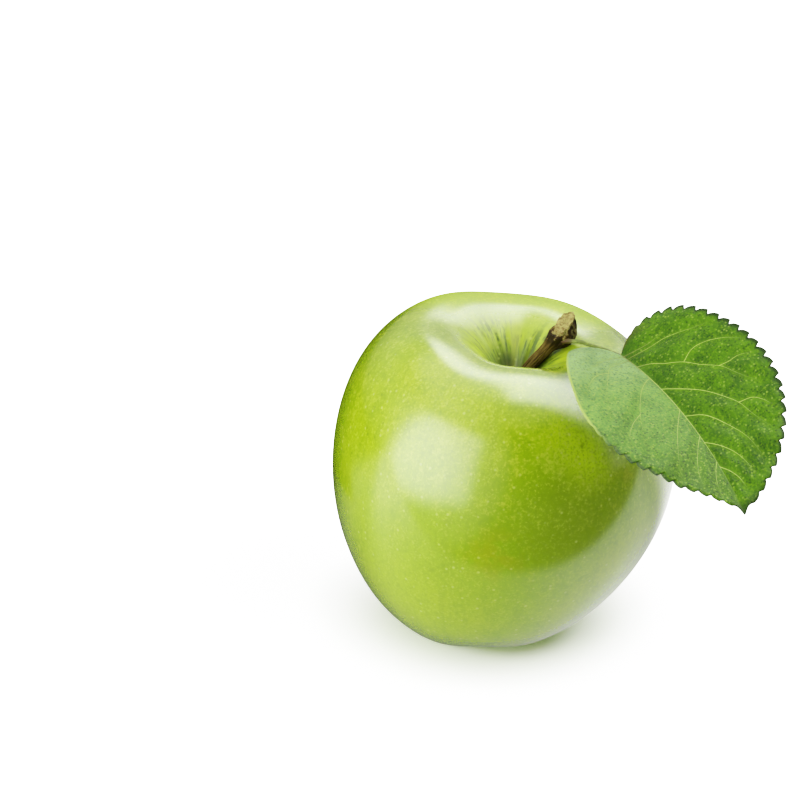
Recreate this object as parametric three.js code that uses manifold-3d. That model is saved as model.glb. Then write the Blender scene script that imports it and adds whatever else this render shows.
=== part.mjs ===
// A whole green apple as picked: the fruit, its woody stem, one toothed leaf on a thin stalk, and
// the dried calyx in the basin underneath. It stands on the five low bumps round that basin.
// Millimetres, +Z up. The pieces are drawn round the fruit's foot and moved together at the end.

import * as THREE from "three";
import { mergeVertices } from "three/addons/utils/BufferGeometryUtils.js";
import Module from "manifold-3d";

const wasm = await Module();
wasm.setup();

// ---- Driving dimensions -------------------------------------------------------------------

const GAP = 0.3; // clear space between two pieces that touch on the real apple

const FRUIT_RADIUS = 39.2; // half of the girth
const FRUIT_HEIGHT = 73.4; // top of the shoulder over the foot, before the lean
const GIRTH_HEIGHT = 42.8; // height of the widest ring
const SHOULDER_RADIUS = 19.5; // ring of highest points round the stem cavity
const FOOT_RADIUS = 13.8; // ring of lowest points round the basin
const CAVITY_DEPTH = 14.2;
const BASIN_DEPTH = 7;
const TOP_SHIFT = 7.5; // how far the top sits to +X of the foot
const TOP_SHIFT_BACK = -0.7; // and to +Y of it
const BELLY_SHIFT = 0.3; // extra shift to +X at half height
const TOP_SLOPE = -0.13; // fall of the top towards +X
const TOP_SLOPE_BACK = 0.05; // rise of the top towards +Y
const LOBES = 5; // ribs round the lower half, each ending in a foot bump
const LOBE_SHARE = 0.01; // depth of the ribs as a share of the radius
const LOBE_TURN = 0.3; // radians from +X to the first rib
const FOOT_RISE = 0.9; // height of the hollows between two foot bumps
const FOOT_REACH = 12; // height over which the foot bumps fade out
const FOOT_FLAT = 0.3; // how much the fruit's weight flattens each bump
const SHOULDER_WAVE = 0.4; // swell of the shoulder over the ribs

const STEM_SINK = 2.5; // length of the stem inside the flesh
const STEM_RADIUS = 1.4;
const STEM_HEAD_RADIUS = 2.25; // knuckle where the stem broke from the spur
const STEM_BREAK_TILT = 1.3; // slope of the broken end face

const LEAF_LENGTH = 57.3; // along the midrib, without the stalk
const LEAF_THICKNESS = 0.7;
const LEAF_HEADING = 62; // degrees from +X towards -Y
const LEAF_ROLL = 11; // degrees round the midrib
const LEAF_DROOP = 26.8; // degrees the midrib bends down from base to tip
const LEAF_BOW = -11.7; // degrees the midrib bends to the side
const LEAF_FOLD = 25.4; // degrees each half is raised at the base
const LEAF_FOLD_LOSS = 0.66; // share of that fold which is gone at the tip
const TEETH_PER_SIDE = 28;
const TOOTH_HEIGHT = 0.9;
const STALK_RADIUS = 0.55;

const CALYX_RADIUS = 2.6;
const CALYX_DISC_HEIGHT = 1.6;
const SEPALS = 5;
const SEPAL_WIDTH = 2.4;
const SEPAL_THICKNESS = 0.6;

// ---- Shared helpers -----------------------------------------------------------------------

const UP = new THREE.Vector3(0, 0, 1);
const vector = (x, y, z) => new THREE.Vector3(x, y, z);
const radians = THREE.MathUtils.degToRad;
const smooth = THREE.MathUtils.smoothstep;
const clampShare = (value) => THREE.MathUtils.clamp(value, 0, 1);

// A closed geometry as a manifold solid, with triangles that have lost their area left out.
function toSolid(geometry) {
  const bare = geometry.clone();
  bare.deleteAttribute("normal");
  bare.deleteAttribute("uv");
  const welded = mergeVertices(bare, 1e-4);
  const corners = welded.index.array;
  const kept = [];
  for (let i = 0; i < corners.length; i += 3) {
    const [a, b, c] = [corners[i], corners[i + 1], corners[i + 2]];
    if (a !== b && b !== c && c !== a) kept.push(a, b, c);
  }
  return new wasm.Manifold(
    new wasm.Mesh({
      numProp: 3,
      vertProperties: new Float32Array(welded.attributes.position.array),
      triVerts: new Uint32Array(kept),
    }),
  );
}

function toMesh(name, solid, colour, roughness) {
  const { vertProperties, triVerts } = solid.getMesh();
  const geometry = new THREE.BufferGeometry();
  geometry.setAttribute("position", new THREE.BufferAttribute(vertProperties, 3));
  geometry.setIndex(new THREE.BufferAttribute(triVerts, 1));
  geometry.computeVertexNormals();
  const mesh = new THREE.Mesh(
    geometry,
    new THREE.MeshStandardMaterial({ color: colour, roughness, metalness: 0 }),
  );
  mesh.name = name;
  return mesh;
}

// Moves every vertex of a geometry to move(vertex).
function reshape(geometry, move) {
  const place = geometry.attributes.position;
  for (let i = 0; i < place.count; i += 1) {
    const moved = move(new THREE.Vector3().fromBufferAttribute(place, i));
    place.setXYZ(i, moved.x, moved.y, moved.z);
  }
  return geometry;
}

// A closed round rod along a smooth curve through the points. radiusAt(share, angle) is its
// radius, and endTilt(share) slants its rings along the curve on the side of tiltTowards.
function rod({ points, sides, steps, radiusAt, tiltTowards = UP, endTilt = () => 0 }) {
  const curve = new THREE.CatmullRomCurve3(points, false, "centripetal");
  const frames = curve.computeFrenetFrames(steps, false);
  const cylinder = new THREE.CylinderGeometry(1, 1, 1, sides, steps);
  return reshape(cylinder, (vertex) => {
    const share = vertex.y + 0.5;
    const ring = Math.round(share * steps);
    const reach = radiusAt(share, Math.atan2(vertex.z, vertex.x));
    const offset = new THREE.Vector3()
      .addScaledVector(frames.binormals[ring], vertex.x * reach)
      .addScaledVector(frames.normals[ring], vertex.z * reach);
    const slide = -endTilt(share) * offset.dot(tiltTowards);
    return curve.getPointAt(share).add(offset).addScaledVector(frames.tangents[ring], slide);
  });
}

// A closed sheet over a grid: pointAt(row, column) gives { point, normal }, the normal being row
// direction cross column direction. Both faces are split into the same triangles, half the
// thickness to each side of the grid.
function sheet(rows, columns, thickness, pointAt) {
  const corners = [];
  const triangles = [];
  const perFace = (rows + 1) * (columns + 1);
  const at = (row, column) => row * (columns + 1) + column;
  for (const face of [1, -1]) {
    for (let row = 0; row <= rows; row += 1) {
      for (let column = 0; column <= columns; column += 1) {
        const { point, normal } = pointAt(row, column);
        corners.push(...point.clone().addScaledVector(normal, (face * thickness) / 2));
      }
    }
  }
  const quad = (a, b, c, d) => triangles.push(a, b, c, a, c, d);
  for (let row = 0; row < rows; row += 1) {
    for (let column = 0; column < columns; column += 1) {
      const ring = [at(row, column), at(row + 1, column), at(row + 1, column + 1), at(row, column + 1)];
      quad(...ring);
      const [a, b, c, d] = ring.map((corner) => corner + perFace);
      triangles.push(a, c, b, a, d, c);
    }
  }
  const edge = [];
  for (let column = 0; column < columns; column += 1) edge.push(at(0, column));
  for (let row = 0; row < rows; row += 1) edge.push(at(row, columns));
  for (let column = columns; column > 0; column -= 1) edge.push(at(rows, column));
  for (let row = rows; row > 0; row -= 1) edge.push(at(row, 0));
  edge.forEach((from, i) => {
    const to = edge[(i + 1) % edge.length];
    quad(from, to, to + perFace, from + perFace);
  });
  const geometry = new THREE.BufferGeometry();
  geometry.setAttribute("position", new THREE.Float32BufferAttribute(corners, 3));
  geometry.setIndex(triangles);
  return geometry;
}

// ---- Fruit: one solid, skin and flesh -------------------------------------------------------

// Half section from the cavity floor over the shoulder, girth and foot to the basin centre.
function fruitSection() {
  const section = new THREE.Path();
  section.moveTo(0, FRUIT_HEIGHT - CAVITY_DEPTH);
  section.bezierCurveTo(
    SHOULDER_RADIUS * 0.15, FRUIT_HEIGHT - CAVITY_DEPTH,
    SHOULDER_RADIUS * 0.37, FRUIT_HEIGHT,
    SHOULDER_RADIUS, FRUIT_HEIGHT,
  );
  section.bezierCurveTo(
    THREE.MathUtils.lerp(SHOULDER_RADIUS, FRUIT_RADIUS, 0.584), FRUIT_HEIGHT,
    FRUIT_RADIUS, THREE.MathUtils.lerp(GIRTH_HEIGHT, FRUIT_HEIGHT, 0.54),
    FRUIT_RADIUS, GIRTH_HEIGHT,
  );
  section.bezierCurveTo(
    FRUIT_RADIUS, GIRTH_HEIGHT * 0.385,
    THREE.MathUtils.lerp(FOOT_RADIUS, FRUIT_RADIUS, 0.26), 0,
    FOOT_RADIUS, 0,
  );
  section.bezierCurveTo(FOOT_RADIUS * 0.5, 0, FOOT_RADIUS * 0.45, BASIN_DEPTH, 0, BASIN_DEPTH);
  return section;
}

// The round body takes its ribs, foot bumps and swelling shoulder, then leans towards +X.
function growFruit({ x, y, z }) {
  const radius = Math.hypot(x, y);
  const angle = Math.atan2(y, x);
  const share = z / FRUIT_HEIGHT;
  const rib = Math.cos(LOBES * (angle - LOBE_TURN));
  const ribDepth = LOBE_SHARE * clampShare(1 - share / 0.75) ** 1.2;
  const footFade = clampShare(1 - z / FOOT_REACH) ** 2 * clampShare(radius / FOOT_RADIUS);
  const hollow = (FOOT_RISE / 2) * (1 - rib) * footFade;
  const swellPlace = Math.cos(LOBES * (angle - LOBE_TURN) + LOBES / 2);
  const swell = SHOULDER_WAVE * swellPlace * share ** 8 * clampShare(radius / SHOULDER_RADIUS);
  const shift = BELLY_SHIFT * Math.sin(Math.PI * share) + TOP_SHIFT * share;
  const outX = x * (1 + ribDepth * rib) + shift;
  const outY = y * (1 + ribDepth * rib) + TOP_SHIFT_BACK * share;
  const lean = share * TOP_SLOPE * outX + share ** 3 * TOP_SLOPE_BACK * outY;
  return vector(outX, outY, Math.max(z + hollow + swell + lean - FOOT_FLAT, 0));
}

const CAVITY_FLOOR = growFruit(vector(0, 0, FRUIT_HEIGHT - CAVITY_DEPTH));
const BASIN_CENTRE = growFruit(vector(0, 0, BASIN_DEPTH));

function makeFruit(stem, calyx) {
  const fromBasinUp = fruitSection().getPoints(10).reverse();
  const body = new THREE.LatheGeometry(fromBasinUp, 60);
  body.rotateX(Math.PI / 2);
  return toSolid(reshape(body, growFruit)).subtract(stem).subtract(calyx);
}

// ---- Stem: a woody rod with a knuckle and a slanted broken end ----------------------------------

const STEM_POINTS = [
  CAVITY_FLOOR.clone().add(vector(-1.2, 0, -STEM_SINK)),
  CAVITY_FLOOR.clone(),
  vector(9.9, 0.2, 63.9),
  vector(13.3, 1.2, 67.3),
  vector(15.9, 1.7, 70.3),
  vector(17.5, 2.1, 72.6),
  vector(17.9, 2.3, 74.2),
];
const STEM_BREAK_TOWARDS = vector(-0.62, -0.7, 0.35).normalize();

// Slim shaft, then the knuckle, which narrows a little again at the break.
function stemRadius(share, angle) {
  const head = smooth(share, 0.6, 0.82);
  const knots = 1 + head * (0.08 * Math.cos(3 * angle + 1) + 0.05 * Math.cos(7 * angle));
  const narrowing = 1 - 0.18 * smooth(share, 0.85, 1);
  return THREE.MathUtils.lerp(STEM_RADIUS, STEM_HEAD_RADIUS, head) * knots * narrowing;
}

// With some clearance, the same rod is larger all round and cuts the stem's hole in the fruit.
function makeStem(clearance = 0) {
  const [end, floor, ...rest] = STEM_POINTS;
  const inwards = end.clone().sub(floor).normalize();
  return toSolid(
    rod({
      points: [end.clone().addScaledVector(inwards, clearance), floor, ...rest],
      sides: 14,
      steps: 24,
      radiusAt: (share, angle) => stemRadius(share, angle) + clearance,
      tiltTowards: STEM_BREAK_TOWARDS,
      endTilt: (share) => STEM_BREAK_TILT * smooth(share, 0.78, 1),
    }),
  );
}

// ---- Leaf: a toothed blade with its midrib and stalk, grown as one piece -------------------------

const LEAF_BASE = vector(29.9, -10.1, 71.3);

// Each half of the flat blade is two cubic curves, base to widest place to tip. halfWidth is in
// millimetres, the rises are shares of it, and the other numbers are shares of the leaf's length.
const RIGHT_HALF = {
  halfWidth: 22.8,
  widestAt: 0.43,
  baseBack: 0.23,
  baseRise: 0.7,
  widestBack: 0.23,
  widestAhead: 0.33,
  tipBack: 0.06,
  tipRise: 0.38,
};
const LEFT_HALF = {
  halfWidth: 24,
  widestAt: 0.43,
  baseBack: 0.25,
  baseRise: 0.49,
  widestBack: 0.2,
  widestAhead: 0.29,
  tipBack: 0.11,
  tipRise: 0.07,
};

function halfOutline(half) {
  const widest = half.widestAt * LEAF_LENGTH;
  const outline = new THREE.Path();
  outline.moveTo(0, 0);
  outline.bezierCurveTo(
    -half.baseBack * LEAF_LENGTH, half.baseRise * half.halfWidth,
    widest - half.widestBack * LEAF_LENGTH, half.halfWidth,
    widest, half.halfWidth,
  );
  outline.bezierCurveTo(
    widest + half.widestAhead * LEAF_LENGTH, half.halfWidth,
    LEAF_LENGTH * (1 - half.tipBack), half.halfWidth * half.tipRise,
    LEAF_LENGTH, 0,
  );
  return outline;
}

// Directions at the leaf's base: along the midrib, out to its right side, and up off the blade.
function leafDirections() {
  const heading = radians(LEAF_HEADING);
  const along = vector(Math.cos(heading), -Math.sin(heading), 0);
  const up = UP.clone().applyAxisAngle(along, radians(LEAF_ROLL));
  return { along, up, right: new THREE.Vector3().crossVectors(up, along) };
}
const LEAF = leafDirections();

// The place of a flat blade point, s along the midrib and w out to one side. The midrib bends
// down on an arc and bows sideways, and each half is raised by the fold, which fades to the tip.
function onLeaf(s, w, side) {
  const droop = radians(LEAF_DROOP) / LEAF_LENGTH;
  const bend = droop * Math.max(s, 0);
  const ahead = s > 0 ? Math.sin(bend) / droop : s;
  const drop = (1 - Math.cos(bend)) / droop;
  const bow = (0.5 * radians(LEAF_BOW) * Math.max(s, 0) ** 2) / LEAF_LENGTH;
  const fold = radians(LEAF_FOLD) * (1 - LEAF_FOLD_LOSS * clampShare(s / LEAF_LENGTH));
  const off = LEAF.up.clone().multiplyScalar(Math.cos(bend)).addScaledVector(LEAF.along, Math.sin(bend));
  const point = LEAF_BASE.clone()
    .addScaledVector(LEAF.along, ahead)
    .addScaledVector(LEAF.up, -drop)
    .addScaledVector(LEAF.right, bow + side * w * Math.cos(fold))
    .addScaledVector(off, w * Math.sin(fold));
  const leanOut = w === 0 ? 0 : -side * Math.sin(fold);
  const normal = off.multiplyScalar(Math.cos(fold)).addScaledVector(LEAF.right, leanOut).normalize();
  return { point, normal };
}

// Teeth lean forward: each rises over most of its pitch, then drops back to the margin.
const TOOTH_STATIONS = [0, 0.4, 0.74];
const COLUMN_SHARES = [0, 0.3, 0.6, 0.86, 1];

function toothLift(station, tooth) {
  const size = smooth(tooth, 0.5, 5) * (1 - 0.5 * smooth(tooth, TEETH_PER_SIDE - 5, TEETH_PER_SIDE));
  return TOOTH_HEIGHT * size * (station / TOOTH_STATIONS[2] - 0.6);
}

// The blade's rows run from the left margin through the midrib to the right margin.
function makeBlade() {
  const rightOutline = halfOutline(RIGHT_HALF);
  const leftOutline = halfOutline(LEFT_HALF);
  const lastRow = TEETH_PER_SIDE * TOOTH_STATIONS.length - 1;
  const half = COLUMN_SHARES.length - 1;
  const blade = sheet(lastRow - 1, half * 2, LEAF_THICKNESS, (rowIndex, column) => {
    const row = rowIndex + 1;
    const tooth = Math.floor(row / TOOTH_STATIONS.length);
    const station = TOOTH_STATIONS[row % TOOTH_STATIONS.length];
    const margin = (tooth + station) / TEETH_PER_SIDE;
    const side = Math.sign(column - half);
    const share = COLUMN_SHARES[Math.abs(column - half)];
    const middle = LEAF_LENGTH * margin;
    if (side === 0) return onLeaf(middle, 0, 0);
    const outline = side > 0 ? rightOutline : leftOutline;
    const place = outline.getPointAt(margin);
    const ahead = outline.getTangentAt(margin);
    const lift = share === 1 ? toothLift(station, tooth + station) : 0;
    const s = THREE.MathUtils.lerp(middle, place.x, share) - ahead.y * lift + ahead.x * Math.max(lift, 0);
    const w = place.y * share + ahead.x * lift + ahead.y * Math.max(lift, 0);
    return onLeaf(s, Math.max(w, 0.05), side);
  });
  return toSolid(blade);
}

// The stalk leaves the stem's knuckle, passes over the shoulder and runs on as the midrib.
function makeStalk() {
  const [, , , , knuckle] = STEM_POINTS;
  const towardsLeaf = LEAF_BASE.clone().sub(knuckle).setZ(0).normalize();
  const start = knuckle.clone().addScaledVector(towardsLeaf, STEM_HEAD_RADIUS * 1.2 + GAP);
  const stalk = [
    start,
    vector(21.3, -1, 70.7),
    vector(23.4, -3.2, 70.9),
    vector(25.5, -5.6, 71.2),
    vector(27.6, -7.8, 71.3),
  ];
  const midrib = [0, 0.15, 0.3, 0.45, 0.6, 0.75, 0.9].map((share) => {
    const { point, normal } = onLeaf(share * LEAF_LENGTH, 0, 0);
    return point.addScaledVector(normal, -0.3);
  });
  return toSolid(
    rod({
      points: [...stalk, ...midrib],
      sides: 8,
      steps: 44,
      radiusAt: (share) => STALK_RADIUS * (1 - 0.4 * smooth(share, 0.2, 1)),
    }),
  );
}

// ---- Calyx: five dried sepals on a small disc, in the basin underneath --------------------------

function makeCalyxDisc(extra = 0) {
  const disc = new THREE.CylinderGeometry(
    CALYX_RADIUS + extra, CALYX_RADIUS * 0.8 + extra, CALYX_DISC_HEIGHT + 2 * extra, 20,
  );
  disc.rotateX(-Math.PI / 2);
  disc.translate(BASIN_CENTRE.x, BASIN_CENTRE.y, BASIN_CENTRE.z + 0.5);
  return toSolid(disc);
}

// A sepal hangs from the disc, closes in over the middle and curls out at its pointed end.
function makeSepal(index) {
  const rows = 6;
  const middleLine = new THREE.CubicBezierCurve(
    new THREE.Vector2(1.5, 0.3),
    new THREE.Vector2(1.9, -2),
    new THREE.Vector2(0.5, -3),
    new THREE.Vector2(3.2, -4.5),
  );
  const turn = (index / SEPALS) * Math.PI * 2 + LOBE_TURN;
  const geometry = sheet(rows, 2, SEPAL_THICKNESS, (row, column) => {
    const share = row / rows;
    const middle = middleLine.getPoint(share);
    const ahead = middleLine.getTangent(share);
    const side = column - 1;
    const halfWidth = (SEPAL_WIDTH / 2) * (1 - 0.85 * share ** 1.6);
    const cup = 0.25 * Math.abs(side) * (1 - share);
    const point = vector(middle.x - cup, side * halfWidth, middle.y).applyAxisAngle(UP, turn);
    const normal = vector(-ahead.y, 0, ahead.x).applyAxisAngle(UP, turn);
    return { point: point.add(BASIN_CENTRE), normal };
  });
  return toSolid(geometry);
}

function makeCalyx() {
  let calyx = makeCalyxDisc();
  for (let index = 0; index < SEPALS; index += 1) calyx = calyx.add(makeSepal(index));
  return calyx;
}

// ---- The whole apple ------------------------------------------------------------------------

const apple = new THREE.Group();
apple.add(toMesh("fruit", makeFruit(makeStem(GAP * 1.2), makeCalyxDisc(GAP * 1.5)), "#97b914", 0.25));
apple.add(toMesh("stem", makeStem(), "#6b4423", 0.8));
apple.add(toMesh("leaf", makeBlade().add(makeStalk()), "#5f9c2c", 0.5));
apple.add(toMesh("calyx", makeCalyx(), "#6b5a3a", 0.9));

// The origin is the middle of the whole apple's box, at the surface it stands on.
const box = new THREE.Box3().setFromObject(apple);
const middle = box.getCenter(new THREE.Vector3());
apple.position.set(-middle.x, -middle.y, -box.min.z);

export default apple;
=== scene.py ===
import math

import bpy
import numpy as np
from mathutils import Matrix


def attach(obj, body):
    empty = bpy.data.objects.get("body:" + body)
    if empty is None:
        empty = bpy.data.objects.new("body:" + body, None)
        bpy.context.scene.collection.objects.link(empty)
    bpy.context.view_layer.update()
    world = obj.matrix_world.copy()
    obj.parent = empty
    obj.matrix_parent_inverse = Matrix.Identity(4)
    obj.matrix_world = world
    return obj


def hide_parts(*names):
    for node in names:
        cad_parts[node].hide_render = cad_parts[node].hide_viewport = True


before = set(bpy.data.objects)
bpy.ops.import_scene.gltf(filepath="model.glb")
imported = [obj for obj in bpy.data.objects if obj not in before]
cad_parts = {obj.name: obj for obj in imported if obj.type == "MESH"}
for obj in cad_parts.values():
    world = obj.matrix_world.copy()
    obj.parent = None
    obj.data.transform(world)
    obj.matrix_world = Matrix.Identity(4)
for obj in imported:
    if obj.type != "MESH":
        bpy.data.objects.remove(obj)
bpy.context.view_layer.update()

# ---------------------------------------------------------------- the fruit
# The whole apple: pale flesh under a tight waxy green skin, grown round its core with five soft
# ribs. It leans a little, has a deep stem cavity above and a puckered basin below, and rests on
# the ribs' ends.
FOOT = np.array([-14.361, 10.721, 0.0])  # middle of the foot; every other place is told from it
FRUIT_HEIGHT = 73.4  # top of the shoulder over the foot, before the lean
FRUIT_RADIUS = 39.2  # half of the girth
GIRTH_HEIGHT = 42.8  # height of the widest ring
SHOULDER_RADIUS = 19.5  # ring of highest points round the stem cavity
FOOT_RADIUS = 13.8  # ring of lowest points round the basin
CAVITY_DEPTH, BASIN_DEPTH = 14.2, 7.0
TOP_SHIFT, TOP_SHIFT_BACK, BELLY_SHIFT = 7.5, -.7, .3  # how far they sit off the foot
TOP_SLOPE, TOP_SLOPE_BACK = -.13, .05  # rise of the top to the right and to the back
RIBS, RIB_SHARE, RIB_TURN = 5, .01, .3  # count, depth as a share of the radius, first one's place
FOOT_RISE, FOOT_REACH, FOOT_FLAT = .9, 12.0, .3  # hollows between the ribs' ends, and the flats
SHOULDER_WAVE, PLEAT_DEPTH, SLOW_WAVE = .4, .16, .04
CAVITY_FLOOR = np.array([6.220, -.565, 58.233])
SKIN_GREEN, SKIN_YELLOW, SKIN_DEEP = (.270, .420, .003), (.330, .460, .008), (.225, .350, .001)
SKIN_PAINTED_LIGHT, SKIN_PAINTED_BRIGHT, FLECK_PALE = (.420, .540, .010), (.500, .680, .006), (.440, .560, .040)
CAVITY_PALE, CAVITY_DARK, CREASE_SHADE_DARK = (.480, .640, .030), (.130, .205, .002), (.050, .080, .001)
PORE_PALE, RUSSET, BLUSH_ORANGE = (.560, .660, .130), (.330, .215, .060), (.430, .330, .010)
# Patches of the skin: each has a middle, a reach in millimetres and a strength.
# Painted light: lightens the green on the upper front, low on the front left and low on the front right.
PAINTED_LIGHT_PATCHES = [((-5, -27, 68), 27, .5), ((-19, -26, 20), 26, .35), ((29, -29, 31), 20, .5)]
# Painted shade on the front right, below the leaf.
PAINTED_SHADE_PATCHES = [((14.5, -38, 41.5), 25, .85)]
# Painted light on the upper front right, just under the leaf's edge.
PAINTED_BRIGHT_PATCHES = [((17.3, -31.2, 62.6), 11, .8), ((22.6, -32.4, 55.5), 9, .8)]
BLUSH_PATCHES = [((30.5, -26, 54), 9, .24), ((1.7, -39, 36.2), 11, .24)]
DARK_PORE_PATCHES = [((-24, -12, 62), 36, .4)]
# Painted shade in the throat of the cavity, beside the stem.
PAINTED_CREASE_SHADE_PATCHES = [((5.2, 3.8, 63.8), 3.2, .7)]


def smooth(x, low, high):
    """0 below low, 1 above high, and 3t2 - 2t3 between them."""
    t = np.clip((x - low) / (high - low), 0, 1)
    return t * t * (3 - 2 * t)


def bezier(points, t):
    """The cubic curve of four points: each is weighed by its share 1, 3, 3, 1 of t and 1 - t."""
    a, b, c, d = (np.array(p, float) for p in points)
    t = np.asarray(t)[..., None]
    return a * (1 - t) ** 3 + 3 * b * t * (1 - t) ** 2 + 3 * c * t * t * (1 - t) + d * t ** 3


def fruit_section():
    """Half the cut apple as (radius, height): four cubics from the cavity floor up to the shoulder,
    round the girth, round the foot and up into the basin."""
    tall, wide, girth = FRUIT_HEIGHT, FRUIT_RADIUS, GIRTH_HEIGHT
    neck, foot, floor = SHOULDER_RADIUS, FOOT_RADIUS, FRUIT_HEIGHT - CAVITY_DEPTH
    brow = (neck + (wide - neck) * .584, tall)
    cheek = (wide, girth + (tall - girth) * .54)
    heel = (foot + (wide - foot) * .26, 0)
    curves = [
        ([(0, floor), (neck * .15, floor), (neck * .37, tall), (neck, tall)], 76),
        ([(neck, tall), brow, cheek, (wide, girth)], 72),
        ([(wide, girth), (wide, girth * .385), heel, (foot, 0)], 64),
        ([(foot, 0), (foot * .5, 0), (foot * .45, BASIN_DEPTH), (0, BASIN_DEPTH)], 40),
    ]
    cut = [bezier(points, np.linspace(0, 1, count, endpoint=False)) for points, count in curves]
    return np.concatenate(cut)[1:]


def fruit_skin(radius, height, turn):
    """A turned section, ribbed: each point moves out by the rib's cosine, the ribs' ends stand on
    the ground with hollows between them, the shoulder waves and the top leans and slopes. The
    cavity's wall has shallow pleats, and slow waves keep the whole from being true."""
    share = height / FRUIT_HEIGHT
    rib = np.cos(RIBS * (turn - RIB_TURN))
    out = 1 + RIB_SHARE * np.clip(1 - share / .75, 0, 1) ** 1.2 * rib
    low = np.clip(1 - height / FOOT_REACH, 0, 1) ** 2 * np.clip(radius / FOOT_RADIUS, 0, 1)
    hollow = FOOT_RISE * .5 * (1 - rib) * low
    high = share ** 8 * np.clip(radius / SHOULDER_RADIUS, 0, 1)
    swell = SHOULDER_WAVE * np.cos(RIBS * (turn - RIB_TURN) + 2.5) * high
    x = radius * np.cos(turn) * out + BELLY_SHIFT * np.sin(np.pi * share) + TOP_SHIFT * share
    y = radius * np.sin(turn) * out + TOP_SHIFT_BACK * share
    z = height + hollow + swell + TOP_SLOPE * share * x + TOP_SLOPE_BACK * share ** 3 * y - FOOT_FLAT
    inside = smooth(height, 40, 60) * smooth(radius, 1.0, 3.5) * (1 - smooth(radius, 6, 13))
    pleat = np.cos(9 * turn + 1.1) + .7 * np.cos(14 * turn + .35 * radius)
    pleat = pleat + .5 * np.cos(23 * turn - .2 * radius)
    z = z + PLEAT_DEPTH * pleat * inside
    slow = np.cos(.11 * x + .05 * z + 1) + np.cos(.09 * y - .12 * z + 2) + np.cos(.17 * x - .13 * y + .4) - 3
    free = smooth(height, 8, 20)
    x = x + SLOW_WAVE * slow * free * np.cos(turn)
    y = y + SLOW_WAVE * slow * free * np.sin(turn)
    return np.stack([x, y, np.maximum(z, 0)], axis=-1)


def closed_mesh(name, grids, marks):
    """Each grid of points becomes a skin that closes round its columns, with a fan of triangles
    from the middle of its first and its last row. Marks are numbers kept with the points."""
    points, faces, kept, start = [], [], {key: [] for key in marks}, 0
    for place, grid in enumerate(grids):
        rows, columns = grid.shape[:2]
        index = start + np.arange(rows * columns).reshape(rows, columns)
        after = np.roll(index, -1, axis=1)
        first, last = start + rows * columns, start + rows * columns + 1
        faces += np.stack([index[:-1], index[1:], after[1:], after[:-1]], axis=-1).reshape(-1, 4).tolist()
        faces += np.stack([np.full(columns, first), index[0], after[0]], axis=-1).tolist()
        faces += np.stack([np.full(columns, last), after[-1], index[-1]], axis=-1).tolist()
        points.append(np.concatenate([grid.reshape(-1, 3), [grid[0].mean(axis=0), grid[-1].mean(axis=0)]]))
        for key, values in marks.items():
            value = values[place]
            kept[key].append(np.concatenate([value.ravel(), [value[0].mean(), value[-1].mean()]]))
        start = last + 1
    mesh = bpy.data.meshes.new(name)
    mesh.from_pydata(((np.concatenate(points) + FOOT) * .001).tolist(), [], faces)
    for key, values in kept.items():
        mark = mesh.attributes.new(key, "FLOAT", "POINT")
        mark.data.foreach_set("value", np.concatenate(values).astype(np.float32))
    mesh.shade_smooth()
    piece = bpy.data.objects.new(name, mesh)
    bpy.context.scene.collection.objects.link(piece)
    return piece


class Shade:
    """A socket in a finish. Sums, products and powers of it add Math nodes, and node adds any other."""

    def __init__(self, tree, socket=None):
        self.tree, self.socket = tree, socket

    def node(self, kind, settings, inputs, output=0):
        """A new node's output, once its settings are made and its inputs are set or linked."""
        made = self.tree.nodes.new(kind)
        for key, value in settings.items():
            setattr(made, key, value)
        for key, value in inputs.items():
            if isinstance(value, Shade):
                self.tree.links.new(value.socket, made.inputs[key])
            else:
                made.inputs[key].default_value = value
        return Shade(self.tree, made.outputs[output] if made.outputs else None)

    def other(self, output):
        """Another output of the same node."""
        return Shade(self.tree, self.socket.node.outputs[output])

    def maths(self, operation, first, second):
        """A Math node of two values."""
        return self.node("ShaderNodeMath", {"operation": operation}, {0: first, 1: second})

    def __add__(self, other):
        return self.maths("ADD", self, other)

    def __sub__(self, other):
        return self.maths("SUBTRACT", self, other)

    def __rsub__(self, other):
        return self.maths("SUBTRACT", other, self)

    def __mul__(self, other):
        return self.maths("MULTIPLY", self, other)

    def __truediv__(self, other):
        return self.maths("DIVIDE", self, other)

    def __pow__(self, other):
        return self.maths("POWER", self, other)

    __radd__, __rmul__ = __add__, __mul__

    def step(self, low, high):
        """0 at low, 1 at high, smooth between them; low may be the larger."""
        inputs = {"Value": self, "From Min": low, "From Max": high}
        return self.node("ShaderNodeMapRange", {"interpolation_type": "SMOOTHSTEP"}, inputs)

    def blend(self, at_none, at_full):
        """One colour where this is 0 and another where it is 1."""
        colours = [c if isinstance(c, Shade) else (*c, 1) for c in (at_none, at_full)]
        inputs = {0: self, 6: colours[0], 7: colours[1]}
        return self.node("ShaderNodeMix", {"data_type": "RGBA"}, inputs, 2)

    def noise(self, where, scale, detail=2.0, roughness=.5):
        """Soft cloudy values about .5; scale counts its waves in one unit of the place given."""
        inputs = {"Vector": where, "Scale": scale, "Detail": detail, "Roughness": roughness}
        return self.node("ShaderNodeTexNoise", {}, inputs)

    def mark(self, name):
        """A number kept with the mesh's points."""
        return self.node("ShaderNodeAttribute", {"attribute_name": name}, {}, 2)

    def spot(self, where, middle, reach):
        """1 at a place told from the foot, in millimetres, falling to 0 at its reach."""
        inputs = {0: where, 1: tuple((np.array(middle) + FOOT) * .001)}
        away = self.node("ShaderNodeVectorMath", {"operation": "DISTANCE"}, inputs, 1)
        return away.step(reach * .001, 0)

    def patches(self, where, listed):
        """The sum of the spots listed, each times its strength."""
        return sum(self.spot(where, middle, reach) * strength for middle, reach, strength in listed)


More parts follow.
